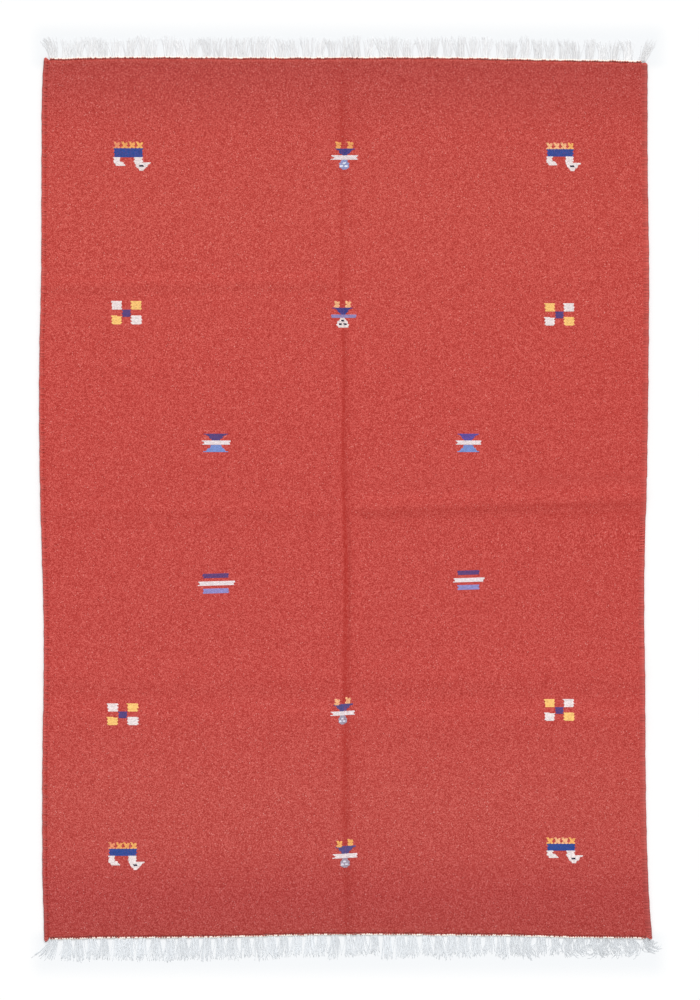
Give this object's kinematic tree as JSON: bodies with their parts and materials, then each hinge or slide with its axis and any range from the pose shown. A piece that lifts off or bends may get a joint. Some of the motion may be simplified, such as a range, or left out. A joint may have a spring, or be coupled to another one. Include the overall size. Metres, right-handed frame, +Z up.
{
  "type": "kilim rug",
  "caption": "Flat-woven wool kilim rug lying flat, red field with small woven motifs in rows, raised selvedges, soft fold creases and a white cotton warp fringe at both ends.",
  "frame": {"origin": "on the floor, at the middle of the whole outline with its fringes", "axes": "+X across the rug to the right, +Y along the rug to its far end, +Z up from the floor"},
  "size_m": [1.6608, 2.451, 0.0092],
  "materials": {
    "wool_cloth": "weft-faced plain weave in heathered red wool, with small woven motifs",
    "cotton_fringe": "white cotton warp yarns, twined at the heading and loose at the ends"
  },
  "bodies": {
    "root": {"kilim_cloth": "wool_cloth", "fringe_top": "cotton_fringe", "fringe_bottom": "cotton_fringe"}
  },
  "joints": []
}
